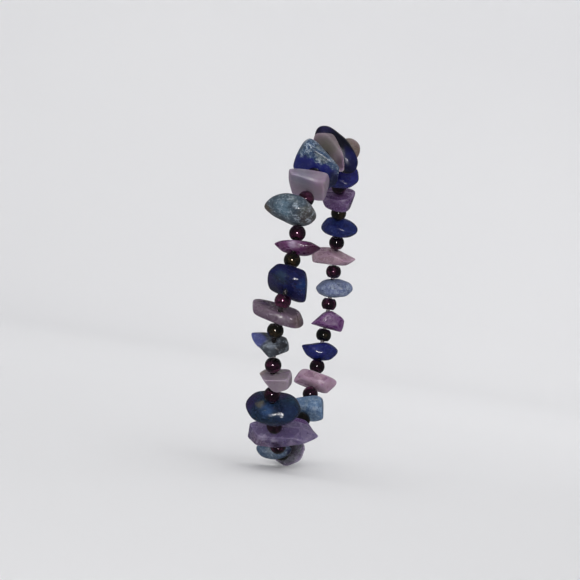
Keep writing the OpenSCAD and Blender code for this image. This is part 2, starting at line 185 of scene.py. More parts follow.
# Second colours of a chip, some of them painted sheen, painted highlight, painted reflection or
# painted
# shade as marked: the colour, the middle of its patch, its radius and its softness, in millimetres
# from the middle of the hole, and how much of the stone's pattern it shows
PATCHES = {
    # Chip 1's brown patch is painted shade and a painted warm reflection
    1: [((96, 78, 68), (-2.0, 1.0, 0.0), 1.5, 1.0, 0.5)],
    2: [((14, 15, 68), (4.4, -0.8, 1.2), 2.2, 1.0, 0.5),
        # Chip 2's violet patch near its top is a painted sheen, a reflection put into its colour
        ((34, 28, 64), (-1.6, 4.0, 0.6), 1.2, 1.0, 0.3)],
    3: [((102, 97, 92), (0.6, 1.4, 0.8), 1.6, 1.0, 0.1),
        ((84, 74, 76), (4.0, -0.6, 1.6), 1.6, 1.0, 0.1)],
    4: [((22, 30, 104), (-7.0, -17.7, 15.1), 25.0, 0.2, 0.1),
        ((18, 24, 62), (4.4, -1.6, 2.0), 2.0, 0.8, 0.2)],
    5: [((122, 120, 134), (-1.2, 3.4, 1.2), 2.0, 1.4, 0.3),
        ((132, 114, 126), (3.4, 2.0, 1.6), 1.4, 1.4, 0.3)],
    6: [((72, 68, 66), (3.4, 2.6, 2.0), 3.3, 0.8, 1.0),
        ((82, 72, 60), (-6.2, 1.6, 0.7), 1.4, 0.6, 0.4),
        ((84, 108, 124), (-2.8, 3.6, 1.2), 1.5, 0.8, 0.6)],
    7: [((74, 30, 62), (3.8, 0.8, 0.2), 1.9, 0.8, 0.5),
        ((136, 112, 142), (-0.2, 1.6, 0.2), 0.6, 0.4, 1.0)],
    8: [((32, 44, 62), (-1.0, 2.4, 0.2), 1.4, 0.8, 0.8),
        ((40, 34, 70), (-3.4, 1.6, 0.2), 1.2, 0.7, 0.3),
        ((20, 40, 84), (3.2, 2.0, 0.4), 1.2, 0.6, 0.6)],
    9: [((72, 56, 80), (-3.2, -0.6, -1.1), 0.9, 0.35, 0.4),
        ((98, 86, 86), (4.2, -0.2, 0.2), 1.8, 0.8, 0.4)],
    10: [((74, 80, 134), (-4.2, 0.2, -1.1), 2.6, 0.5, 0.3),
         ((38, 38, 42), (2.8, 0.2, 0.4), 2.3, 0.5, 0.6),
         ((118, 124, 134), (-0.5, 1.3, -0.9), 0.7, 0.5, 0.8)],
    11: [((124, 116, 104), (-2.2, -0.3, -1.2), 1.1, 0.5, 0.4)],
    12: [((36, 28, 64), (-6.6, 0.0, -1.6), 3.9, 1.0, 0.1),
         ((80, 78, 72), (-2.0, 0.9, -2.2), 0.8, 0.4, 0.5),
         ((44, 68, 104), (-0.4, 1.8, -1.8), 1.1, 0.8, 1.4),
         ((22, 34, 62), (3.4, 1.6, -0.4), 2.4, 1.0, 0.4),
         # Chip 12's violet patch on its upper back edge is a painted reflection
         ((42, 32, 66), (0.8, -2.9, -2.2), 1.7, 0.8, 0.2)],
    13: [((116, 100, 126), (-3.0, 1.4, 1.2), 2.0, 1.0, 0.4),
         # Chip 13's three pale patches along its upper ridge are a painted highlight
         ((150, 140, 166), (-2.0, 1.5, -1.1), 0.7, 0.3, 0.4),
         ((150, 140, 166), (0.0, 1.6, -1.0), 0.6, 0.3, 0.4),
         ((140, 128, 156), (3.2, 1.4, -0.8), 0.7, 0.3, 0.4),
         # Chip 13's dark patch in the middle is painted shade in its fold
         ((62, 44, 78), (0.6, 1.4, 0.6), 1.1, 0.6, 0.4)],
    14: [((24, 28, 60), (2.0, 0.6, 1.4), 2.5, 0.5, 0.3),
         ((108, 122, 138), (-1.6, 0.8, -1.4), 0.8, 0.4, 0.8)],
    15: [((34, 30, 42), (0.8, -0.6, -1.6), 1.6, 0.8, 0.5)],
}


def noise(a, b):
    """A number from -1 to 1 that looks random: the fraction of a large sine, as in the source."""
    v = np.sin(np.asarray(a) * 12.9898 + np.asarray(b) * 78.233) * 43758.5453
    return 2 * (v - np.floor(v)) - 1


def unit(vectors):
    """The vectors at length 1."""
    return vectors / np.linalg.norm(vectors, axis=-1, keepdims=True)


def circle(columns):
    """Evenly spread points on a circle of radius 1."""
    around = np.linspace(0, 2 * np.pi, columns, endpoint=False)
    return np.stack([np.cos(around), np.sin(around)], 1)


def cloud(points, seed):
    """Smooth noise from -1 to 1 at points: the eight lattice corners about each point carry random
    numbers, which are blended by the smoothed shares of the way between them."""
    cell = np.floor(points)
    share = points - cell
    share = share * share * share * (share * (share * 6 - 15) + 10)
    total = np.zeros(points.shape[:-1])
    for corner in np.ndindex(2, 2, 2):
        at = cell + corner
        v = np.sin(at @ (127.1, 311.7, 74.7) + seed * 19.19) * 43758.5453
        weight = np.prod(np.where(np.array(corner) == 1, share, 1 - share), axis=-1)
        total += weight * (2 * (v - np.floor(v)) - 1)
    return total


def smooth(x, low, high):
    """0 below low, 1 above high, and the cubic 3t^2 - 2t^3 of the share between."""
    t = np.clip((x - low) / (high - low), 0, 1)
    return t * t * (3 - 2 * t)


def turned(axis, degrees):
    """Turn about one of a chip's own axes: 0 across, 1 outwards, 2 along the thread."""
    return np.array(Matrix.Rotation(math.radians(degrees), 3, "XYZ"[axis]))


def chip_bounds(number, chip, standard):
    """The planes that bound a chip, each as the vector m with m . x = 1 on it: two for each edge of
    the outline, tipped by the belly angle, the front and back, and four corner planes on each."""
    half = np.array([chip.width, chip.depth, chip.thick]) * standard / 2
    outline = np.array(FORMS[chip.form])
    step = np.roll(outline, -1, axis=0) - outline
    normal = unit(np.stack([step[:, 1], -step[:, 0]], 1))
    stand = (normal * outline).sum(1)
    normal *= np.sign(stand)[:, None]
    level, tip = math.cos(math.radians(chip.belly)), math.sin(math.radians(chip.belly))
    quarters = np.arange(4)
    planes = []
    for side in (1, -1):
        planes.append(np.column_stack([normal[:, 0] * level, np.full(len(step), side * tip),
                                       normal[:, 1] * level, abs(stand) * level]))
        face = np.array([FACE_TILT * noise(number, WIDE_TILT_KEY + side), side,
                         FACE_TILT * noise(number, THICK_TILT_KEY + side)])
        planes.append([[*unit(face), FACE_STAND]])
        key = quarters + 4 * side
        clock = np.radians(45 + 90 * quarters
                           + CROWN_CLOCK_SCATTER * noise(number, CLOCK_KEY + key))
        rise = np.radians(CROWN_RISE + CROWN_RISE_SCATTER * noise(number, RISE_KEY + key))
        far = chip.crown + CROWN_SCATTER * noise(number, CROWN_KEY + key)
        planes.append(np.column_stack([np.cos(rise) * np.cos(clock), side * np.sin(rise),
                                       -np.cos(rise) * np.sin(clock), far]))
    planes = np.vstack(planes)
    pose = turned(2, chip.turn) @ turned(1, -chip.slant) @ turned(0, chip.lean)
    bounds = planes[:, :3] / half / planes[:, 3:] @ pose.T
    off = np.array([chip.shift, chip.lift, 0]) * half
    return bounds / (1 + bounds @ off)[:, None], (half, pose, off)


def size_at(bounds, edge, points):
    """Size of a point against the planes, 1 on the rounded surface: the sum of each plane's share
    m . x to the power edge, and then its root."""
    return (np.maximum(0, points @ bounds.T) ** edge).sum(-1) ** (1 / edge)


def reach(bounds, edge, way, rim_r):
    """How far a spacer's flat end stays from a chip's middle, up (-1) or down (1) the thread, where
    its rim first meets the chip. From the flat planes it comes inwards in a few steps, each the
    size above 1 over the slope of the size."""
    rim = rim_r * np.pad(circle(CONTACTS), ((0, 0), (0, 1)))
    ahead = way * bounds[:, 2] > 1e-9
    z = ((1 - rim @ bounds[ahead].T) / (way * bounds[ahead, 2])).min(1)
    for _ in range(SURFACE_STEPS):
        q = np.maximum(0, (rim + z[:, None] * (0, 0, way)) @ bounds.T)
        size = (q**edge).sum(1) ** (1 / edge)
        z -= (size - 1) / ((q / size[:, None]) ** (edge - 1) @ (way * bounds[:, 2]))
    return z.max()


def string_up(sizes):
    """Places every chip and spacer on the oval, and returns their frames in order and the joints
    between them. The slots set how large the oval is: its radius upwards is the length of all the
    slots over the perimeter of an oval of radius 1."""
    standard = np.array([sizes.chip_width, sizes.chip_depth, sizes.chip_thickness])
    rim_r = math.sqrt((sizes.spacer_diameter / 2) ** 2 - (sizes.spacer_length / 2) ** 2)
    slots = []
    for i, chip in enumerate(CHIPS):
        bounds, shape = chip_bounds(i, chip, standard)
        up, down = (reach(bounds, chip.edge, way, rim_r) for way in (-1, 1))
        slots.append((up, down, bounds, shape))
        slots.append((sizes.spacer_length / 2, sizes.spacer_length / 2, None, None))
    turn = np.linspace(0, 2 * np.pi, LOOP_STEPS + 1)
    oval = np.stack([0 * turn, -LOOP_ASPECT * np.sin(turn), np.cos(turn)], 1)
    run = np.concatenate([[0], np.cumsum(np.linalg.norm(np.diff(oval, axis=0), axis=1))])
    taken = [up + down + sizes.bead_gap for up, down, _, _ in slots]
    starts = np.concatenate([[0], np.cumsum(taken)])
    loop_r = starts[-1] / run[-1]
    begin = np.interp(math.radians(START_ANGLE % 360), turn, run)
    angle = np.interp((begin + starts[:-1] / loop_r) % run[-1], run, turn)
    drift = THREAD_DRIFT * np.interp(np.degrees(angle), ROUTE[:, 0], ROUTE[:, 1])
    joints = np.stack([drift, -LOOP_ASPECT * loop_r * np.sin(angle), loop_r * np.cos(angle)], 1)
    placed = []
    for a, b, (up, down, bounds, shape) in zip(joints, np.roll(joints, -1, axis=0), slots):
        along = unit(b - a)
        out = unit(np.cross(along, (1, 0, 0)))
        middle = a + (b - a) * (up + sizes.bead_gap / 2) / (up + down + sizes.bead_gap)
        placed.append((middle, np.stack([np.cross(out, along), out, along]), bounds, shape))
    return placed, joints


def grid_faces(rows, columns):
    """Quads of a grid that closes both ways: each point with the next in its row and column."""
    r, c = np.meshgrid(np.arange(rows), np.arange(columns), indexing="ij")
    here, below = r * columns, (r + 1) % rows * columns
    beside = (c + 1) % columns
    return np.stack([here + c, below + c, below + beside, here + beside], -1).reshape(-1, 4)


def carried_round(profile, columns):
    """Points of a surface whose profile, in its radius and height, is carried round the axis."""
    flat = profile[:, None, :1] * circle(columns)
    height = np.repeat(profile[:, None, 1:], columns, 1)
    return np.concatenate([flat, height], -1).reshape(-1, 3)


# How far a piece's box may differ from its CAD node's
MOST_OFF = 0.8 * MM


def make_piece(name, points, faces, material, attributes, node):
    """Puts points and faces into a mesh whose object sits at the origin, turned outwards where its
    signed volume is negative, and makes it stand for its CAD node, whose box it has to fill."""
    a, b, c, d = (points[faces[:, k]] for k in range(4))
    if (np.cross(c - a, d - b) * (a + b + c + d)).sum() < 0:
        faces = faces[:, ::-1]
    mesh = bpy.data.meshes.new(name)
    mesh.from_pydata(points, [], faces)
    mesh.shade_smooth()
    for key, values in attributes.items():
        kind, field = ("FLOAT_VECTOR", "vector") if values.ndim == 2 else ("FLOAT", "value")
        layer = mesh.attributes.new(key, kind, "POINT")
        layer.data.foreach_set(field, values.astype(np.float32).ravel())
    mesh.materials.append(material)
    piece = bpy.data.objects.new(name, mesh)
    bpy.context.scene.collection.objects.link(piece)
    low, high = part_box(node)
    off = max(abs(points.min(0) - low).max(), abs(points.max(0) - high).max())
    if off > MOST_OFF:
        raise RuntimeError(f"{name} lies {off / MM:.2f} mm off its CAD node {node}")
    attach(piece, "root")
    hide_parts(node)


CHIP_ROWS, CHIP_COLUMNS = 90, 128
RIM_STEPS, BORE_STEPS, OPENING_STEPS = 4, 3, 30
RIM_ROUND = 0.12 * MM
# Dents of a tumbled chip: how deep they go and how far apart they lie, and a start for the noise
DENTS = ((0.06 * MM, 2.8 * MM, 0), (0.015 * MM, 1.1 * MM, 50))


def chip_surface(number, chip, bounds, shape, bore_r):
    """Points of a drilled chip about its middle, as a grid that closes both ways. The outside runs
    over the directions of an ellipsoid of the chip's half size that is turned and shifted with it,
    from where it meets the rounded rim of the hole at one end to the other, at the distance where
    the size is 1. Then come the rim, the wall of the hole and the other rim."""
    half, pose, off = shape
    pole = unit(pose.T @ (0, 0, 1) / half)
    side = unit(np.cross((0, 1, 0), pole))
    ring = circle(CHIP_COLUMNS) @ (side, np.cross(pole, side))

    def outside(tilt):
        tilt = tilt[..., None]
        u = off * np.sin(tilt) ** 2 + half * (np.cos(tilt) * pole + np.sin(tilt) * ring) @ pose.T
        return u / size_at(bounds, chip.edge, u)[..., None]

    def where_it_opens(low, high):
        for _ in range(OPENING_STEPS):
            middle = (low + high) / 2
            wide = np.hypot(*np.moveaxis(outside(middle), -1, 0)[:2]) > bore_r + RIM_ROUND
            low, high = np.where(wide, low, middle), np.where(wide, middle, high)
        return middle

    first = where_it_opens(np.zeros(CHIP_COLUMNS), np.full(CHIP_COLUMNS, np.pi / 2))
    last = where_it_opens(np.full(CHIP_COLUMNS, np.pi), np.full(CHIP_COLUMNS, np.pi / 2))
    share = np.linspace(0, 1, CHIP_ROWS)[:, None]
    face = relief(outside(first + (last - first) * share), number, chip, bounds, shape, bore_r)
    ends = []
    for rim, way in ((face[-1], -1), (face[0], 1)):
        angle = np.arctan2(rim[:, 1], rim[:, 0])
        steps = np.radians(np.linspace(90, 0, RIM_STEPS + 1)[1:])[:, None]
        radius = bore_r + RIM_ROUND * (1 - np.sin(np.pi / 2 - steps))
        z = rim[:, 2] - way * RIM_ROUND * (1 - np.cos(np.pi / 2 - steps))
        ends.append(np.stack([radius * np.cos(angle), radius * np.sin(angle), z + 0 * radius], -1))
    lower, upper = ends[0], ends[1][::-1]
    share = np.linspace(0, 1, BORE_STEPS + 2)[1:-1, None, None]
    bore = lower[-1] + (upper[0] - lower[-1]) * share
    return np.concatenate([face, lower, bore, upper])


def relief(face, number, chip, bounds, shape, bore_r):
    """Low relief of a tumbled chip, all inwards: soft dents from two layers of smooth noise, and
    shell-shaped chips out of it, each where the line from the middle first meets a large ball that
    cuts just under the surface. It fades out round the hole, where the spacers sit."""
    crisp = looks(number, chip.stone)[1]
    distance = np.linalg.norm(face, axis=-1)
    u = face / distance[..., None]
    away = smooth(np.hypot(face[..., 0], face[..., 1]), bore_r + 0.4 * MM, bore_r + 1.6 * MM)
    cut = distance - sum(deep * (1 + cloud(face / apart, number + start))
                         for deep, apart, start in DENTS)
    half, pose, off = shape
    keys = np.arange(round(10 * crisp))
    turn = np.pi * noise(number, SHELL_TURN_KEY + keys)
    rise = 0.95 * noise(number, SHELL_RISE_KEY + keys)
    flat = np.sqrt(1 - rise**2)
    for k, way in enumerate(np.stack([flat * np.cos(turn), flat * np.sin(turn), rise], 1)):
        way = off + pose @ (half * way)
        middle = way / size_at(bounds, chip.edge, way)
        ball = (5.0 + 2.5 * noise(number, SHELL_BALL_KEY + k)) * MM
        deep = (0.11 + 0.07 * noise(number, SHELL_DEPTH_KEY + k)) * MM
        normal = np.maximum(0, bounds @ middle) ** (chip.edge - 1) @ bounds
        centre = middle + (ball - deep) * unit(normal)
        along = u @ centre
        inside = along**2 - centre @ centre + ball**2
        meets = along - np.sqrt(np.maximum(inside, 0))
        cut = np.where((inside > 0) & (along > 0), np.minimum(cut, meets), cut)
    return u * (distance + (cut - distance) * away)[..., None]


def rounder_normals(number, points, bounds, bore_r):
    """Normals over a chip's grid: those of the grid, from the steps along its rows and columns,
    drawn towards those of a rounder stone, each the sum of the planes' vectors by the planes'
    shares. They are the grid's own round the hole."""
    rows = np.roll(points, -1, axis=0) - np.roll(points, 1, axis=0)
    columns = np.roll(points, -1, axis=1) - np.roll(points, 1, axis=1)
    normal = unit(np.cross(rows, columns))
    normal *= np.sign((normal[:CHIP_ROWS] * points[:CHIP_ROWS]).sum())
    rounder = unit(np.maximum(0, points @ bounds.T) @ bounds)
    away = smooth(np.hypot(points[..., 0], points[..., 1]), bore_r + 0.3 * MM, bore_r + 1.3 * MM)
    return unit(normal + (rounder - normal) * (ROUNDED.get(number + 1, 0.0) * away)[..., None])


def looks(number, stone):
    """A chip's shares of its stone's colour, crispness, share of pattern and dullness. Where the
    table doesn't give them, the colour varies, and so does the crispness of the quartz."""
    shares = 0.9 + 0.2 * noise(number, TINT_KEYS)
    crisp = 0.35 + 0.25 * noise(number, CRISP_KEY) if "amethyst" in stone else 0.0
    return LOOKS.get(number + 1, (shares, crisp, 0.7, 0.1))


def chip_paint(number, stone, points, bounds, edge, lead):
    """The colour at each point, how much of the stone's pattern it shows, how sharp an edge it lies
    on, and how dull its polish is. The colour is the stone's times the chip's shares, then each
    patch's where a point is nearer its middle than its radius, made uneven by smooth noise. An edge
    is where no one plane holds most of the size."""
    shares, crisp, pattern, dull = looks(number, stone)
    colour = np.tile(np.array(lead) * shares, (len(points), 1))
    pattern = np.full(len(points), float(pattern))
    uneven = (0.4 * cloud(points / (1.0 * MM), number + 7)
              + 0.25 * cloud(points / (0.4 * MM), number + 8))
    for screen, middle, radius, soft, kept in PATCHES.get(number + 1, []):
        inside = radius - np.linalg.norm(points / MM - middle, axis=1) + uneven
        share = smooth(inside, -soft, soft)
        colour += (rgb(*screen) - colour) * share[:, None]
        pattern += (kept - pattern) * share
    held = np.maximum(0, points @ bounds.T) ** edge
    sharp = 1 - held.max(1) / np.maximum(held.sum(1), 1e-12)
    return {"stone_colour": colour, "pattern": pattern,
            # The edge value paints amethyst's sharp edges pale: partly frosted wear, partly a
            # painted highlight
            "edge": smooth(sharp, 0.3, 0.5) * (0.05 + crisp),
            "dull": np.full(len(points), float(dull))}


def make_chips(scene, stone, material):
    """Every chip of one stone, each standing for its own node."""
    placed, _ = string_up(scene.bracelet_sizes)
    bore_r = scene.bracelet_sizes.hole_diameter / 2
    lead = getattr(scene.bracelet_colours, stone)
    for i, chip in enumerate(CHIPS):
        if chip.stone == stone:
            middle, axes, bounds, shape = placed[2 * i]
            grid = chip_surface(i, chip, bounds, shape, bore_r)
            normal = rounder_normals(i, grid, bounds, bore_r).reshape(-1, 3)
            own = grid.reshape(-1, 3)
            attributes = {"own": own / MM + SPREAD * noise(i, CHIP_SPREAD_KEYS),
                          "rounder": normal @ axes,
                          **chip_paint(i, stone, own, bounds, chip.edge, lead)}
            node = f"{stone}_chip_{i + 1:02d}"
            make_piece("polished_" + node, middle + own @ axes, grid_faces(*grid.shape[:2]),
                       material, attributes, node)


BEAD_COLUMNS, BEAD_ARC_STEPS, BEAD_LIP_STEPS = 48, 12, 7
# How far the round outside ends before the flat end, in radians, and the share of the flat end
# that the rim of the hole takes up
BEAD_CORNER, BEAD_LIP = 0.14, 0.55


def bead_profile(sizes):
    """Outline of a spacer bead in its radius and length, closed: the round outside, a soft corner
    to the flat end, a rounded rim to the hole, its wall, and the same again the other way."""
    outer, half, bore = sizes.spacer_diameter / 2, sizes.spacer_length / 2, sizes.hole_diameter / 2
    end = math.sqrt(outer**2 - half**2)
    lean = math.asin(half / outer)
    arc = np.linspace(0, lean - BEAD_CORNER, BEAD_ARC_STEPS)
    out = np.stack([outer * np.cos(arc), outer * np.sin(arc)], 1)
    knee = np.array([(end + 0.045 * MM, half - 0.03 * MM), (end - 0.04 * MM, half - 0.005 * MM)])
    rim = (end - bore) * BEAD_LIP
    turn = np.radians(np.linspace(90, 180, BEAD_LIP_STEPS))
    lip = np.stack([bore + rim + rim * np.cos(turn), half - rim + rim * np.sin(turn)], 1)
    top = np.vstack([out, knee, lip, [(bore, half * 0.3)]])
    return np.vstack([top, top[:0:-1] * (1, -1)])


def make_spacers(sizes, bronze, material, node):
    """The spacer beads of one colour: the profile carried round the thread for each."""
    placed, _ = string_up(sizes)
    profile = bead_profile(sizes)
    bead = carried_round(profile, BEAD_COLUMNS)
    quads = grid_faces(len(profile), BEAD_COLUMNS)
    points, faces, own, tone = [], [], [], []
    for i in range(len(CHIPS)):
        if (i + 1 in BRONZE_PLACES) == bronze:
            middle, axes, _, _ = placed[2 * i + 1]
            faces.append(quads + len(points) * len(bead))
            points.append(middle + bead @ axes)
            own.append(bead / MM + SPREAD * noise(i, BEAD_SPREAD_KEYS))
            tone.append(np.full(len(bead), BEAD_TONES_AND_SHEEN.get(i + 1, 0.0)))
    make_piece("iris_" + node, np.vstack(points), np.vstack(faces), material,
               {"own": np.vstack(own), "tone": np.concatenate(tone)}, node)


THREAD_COLUMNS = 20
THREAD_EASE = 0.25 * MM


def make_thread(sizes, material):
    """The elastic thread: a circle carried round the closed line through the joints, straight
    through each bead, with its corners eased by three points at each joint."""
    _, joints = string_up(sizes)
    before, after = np.roll(joints, 1, axis=0), np.roll(joints, -1, axis=0)
    back = joints + THREAD_EASE * unit(before - joints)
    ahead = joints + THREAD_EASE * unit(after - joints)
    line = np.stack([back, (back + ahead + 2 * joints) / 4, ahead], 1).reshape(-1, 3)
    along = unit(np.roll(line, -1, axis=0) - np.roll(line, 1, axis=0))
    out = unit(np.cross(along, (1, 0, 0)))
    wide = np.cross(out, along)
    right, forward = sizes.thread_diameter / 2 * circle(THREAD_COLUMNS).T
    tube = line[:, None] + right[:, None] * wide[:, None] + forward[:, None] * out[:, None]
    run = np.concatenate([[0], np.cumsum(np.linalg.norm(np.diff(line, axis=0), axis=1))])
    own = np.stack(np.broadcast_arrays(right, forward, run[:, None]), -1) / MM
    make_piece("clear_elastic_thread", tube.reshape(-1, 3), grid_faces(len(line), THREAD_COLUMNS),
               material, {"own": own.reshape(-1, 3)}, "elastic_thread")


class Num:
    """A socket of a material. An expression on it adds the Math nodes that work it out."""

    def __init__(self, paint, socket):
        self.paint, self.socket = paint, socket

    def math(self, operation, *values):
        return self.paint.node("Math", {"operation": operation}, enumerate(values))

    def __add__(self, other):
        return self.math("ADD", self, other)

    def __sub__(self, other):
        return self.math("SUBTRACT", self, other)

    def __mul__(self, other):
        return self.math("MULTIPLY", self, other)

    def __rsub__(self, other):
        return self.math("SUBTRACT", other, self)

    def __abs__(self):
        return self.math("ABSOLUTE", self)

    __radd__, __rmul__ = __add__, __mul__

    def smooth(self, low, high, start=0.0, end=1.0):
        """From start below low to end above high, eased."""
        return self.paint.node("MapRange", {"interpolation_type": "SMOOTHSTEP"},
                               {"Value": self, "From Min": low, "From Max": high, "To Min": start,
                                "To Max": end})


class Paint:
    """A material made of nodes."""

    def __init__(self, name):
        self.material = bpy.data.materials.new(name)
        self.material.use_nodes = True
        self.tree = self.material.node_tree
        self.tree.nodes.clear()

    def node(self, kind, settings=None, values=(), out=0):
        """Adds a node: its settings first, then the values or links of its sockets."""
        made = self.tree.nodes.new("ShaderNode" + kind)
        for key, value in (settings or {}).items():
            setattr(made, key, value)
        for key, value in dict(values).items():
            socket = made.inputs[key]
            if isinstance(value, Num):
                self.tree.links.new(value.socket, socket)
            elif socket.type == "RGBA":
                socket.default_value = (*value[:3], 1)
            else:
                socket.default_value = value
        return Num(self, made.outputs[out])

    def attribute(self, name, out="Vector"):
        return self.node("Attribute", {"attribute_name": name}, out=out)

    def chip_attributes(self):
        """A chip's own axes, colour, share of pattern and dullness."""
        return (self.attribute("own"), self.attribute("stone_colour"),
                self.attribute("pattern", "Fac"), self.attribute("dull", "Fac"))

    def noise(self, vector, scale, detail=3.0, rough=0.5, distort=0.0):
        return self.node("TexNoise", values={"Vector": vector, "Scale": scale, "Detail": detail,
                                             "Roughness": rough, "Distortion": distort})

    def stretched(self, vector, turn, scale):
        """The vector turned by degrees and scaled, for streaks and bands."""
        turn = [math.radians(angle) for angle in turn]
        return self.node("Mapping", values={"Vector": vector, "Rotation": turn, "Scale": scale})

    def mix(self, factor, a, b, blend="MIX"):
        return self.node("Mix", {"data_type": "RGBA", "blend_type": blend, "clamp_factor": True},
                         {0: factor, 6: a, 7: b}, out=2)

    def times(self, colour, shares):
        return self.mix(1.0, colour, shares, "MULTIPLY")

    def ramp(self, factor, *stops):
        made = self.node("ValToRGB", values={"Fac": factor})
        elements = made.socket.node.color_ramp.elements
        while len(elements) < len(stops):
            elements.new(1)
        for element, (place, colour) in zip(elements, stops):
            element.position, element.color = place, (*colour, 1)
        return made

    def bump(self, height, strength, distance, **normal):
        return self.node("Bump", values={"Height": height, "Strength": strength,
                                         "Distance": distance, **normal})

    def finish(self, **values):
        """The Principled shader with these values, by socket name with _ for a space."""
        named = {key.replace("_", " "): value for key, value in values.items()}
        shader = self.node("BsdfPrincipled", values=named)
        output = self.tree.nodes.new("ShaderNodeOutputMaterial")
        self.tree.links.new(shader.socket, output.inputs["Surface"])
        return self.material


# Heights of the relief that the materials add in their shading
BUMP_HEIGHT, FILM_HEIGHT, STREAK_HEIGHT = 0.2 * MM, 0.1 * MM, 0.05 * MM


def rgb(red, green, blue):
    """A colour given as it shows on a screen, from 0 to 255, as linear light."""
    shown = np.array([red, green, blue]) / 255
    linear = np.where(shown <= 0.04045, shown / 12.92, ((shown + 0.055) / 1.055) ** 2.4)
    return tuple(float(x) for x in linear)


def lapis_material():
    """Lapis lazuli: its blue drifts between deep and bright, with slate-green matrix, faint pale
    wisps and brassy specks, under a tumbled polish."""
    p = Paint("Lapis lazuli")
    own, stone, pattern, dull = p.chip_attributes()
    drift = p.noise(own, 0.55, 5, 0.6, 0.7)
    grain = p.noise(own, 2.6, 6, 0.72)
    body = p.mix(drift.smooth(0.35, 0.55, 0.55, 0.0), stone, p.times(stone, (0.25, 0.22, 0.45)))
    body = p.mix(drift.smooth(0.52, 0.68, 0.0, 0.5), body, p.times(stone, (1.6, 1.9, 1.6)))
    matrix = p.noise(own, 0.40, 5, 0.62, 1.2).smooth(0.53, 0.66) * pattern
    slate = p.mix(grain.smooth(0.4, 0.6), rgb(26, 36, 52), rgb(44, 60, 76))
    body = p.mix(matrix * 0.5, body, slate)
    wisp = 1 - abs(p.noise(own, 0.8, 5, 0.65, 1.0) - 0.5).smooth(0.0, 0.035)
    body = p.mix(wisp * grain.smooth(0.42, 0.7) * pattern * 0.35, body, rgb(100, 122, 164))
    speck = p.node("TexVoronoi", values={"Vector": own, "Scale": 1.1}).smooth(0.05, 0.09, 1.0, 0.0)
    speck = speck * p.noise(own, 0.3, 2).smooth(0.52, 0.60)
    body = p.mix(speck, body, rgb(150, 124, 70))
    pits = p.noise(own, 1.7, 4, 0.6).smooth(0.62, 0.72)
    height = grain * 0.2 + p.noise(own, 0.8, 2) + p.noise(own, 0.35, 1) * 3 - pits * 0.5
    return p.finish(Base_Color=body, Metallic=speck * 0.8,
                    Roughness=0.10 + grain * 0.10 + matrix * 0.1 + pits * 0.2 + dull * 0.3, IOR=1.5,
                    Coat_Weight=0.25 - dull * 0.25, Coat_Roughness=0.05,
                    Normal=p.bump(height, 0.5, BUMP_HEIGHT, Normal=p.attribute("rounder")))


def denim_material():
    """Pale denim lapis: a speckle of white calcite, blue and slate grains, with a green cast that
    comes and goes, and small pits."""
    p = Paint("Denim lapis")
    own, stone, pattern, dull = p.chip_attributes()
    grain = p.noise(own, 1.1, 7, 0.74, 0.3)
    fine = p.noise(own, 3.0, 4, 0.7)
    broad = p.noise(own, 0.45, 3, 0.55, 0.8)
    mottle = grain * 0.6 + fine * 0.4
    busy = broad.smooth(0.38, 0.58, 0.35, 1.0) * pattern
    body = p.mix(broad.smooth(0.56, 0.42, 0.0, 0.5), stone, p.times(stone, (0.56, 0.60, 0.64)))
    body = p.mix(mottle.smooth(0.48, 0.42, 0.0, 0.8) * busy, body,
                 p.times(stone, (0.16, 0.24, 0.36)))
    body = p.mix(mottle.smooth(0.50, 0.57, 0.0, 0.7) * busy, body, rgb(174, 186, 198))
    green = p.noise(own, 0.5, 4, 0.6, 0.9).smooth(0.48, 0.66) * pattern
    moss = p.mix(mottle.smooth(0.40, 0.60), rgb(50, 62, 64), rgb(118, 126, 124))
    body = p.mix(green * 0.45, body, moss)
    ink = p.noise(own, 1.6, 4, 0.6).smooth(0.60, 0.67) * pattern
    body = p.mix(ink * 0.85, body, rgb(28, 32, 60))
    pits = fine.smooth(0.64, 0.74)
    height = grain * 0.4 + p.noise(own, 0.8, 2) - pits * 0.5
    return p.finish(Base_Color=body, Roughness=0.20 + grain * 0.2 + pits * 0.2 + dull * 0.25,
                    IOR=1.5, Coat_Weight=0.4 - dull * 0.4, Coat_Roughness=0.07,
                    Normal=p.bump(height, 0.3, BUMP_HEIGHT, Normal=p.attribute("rounder")))


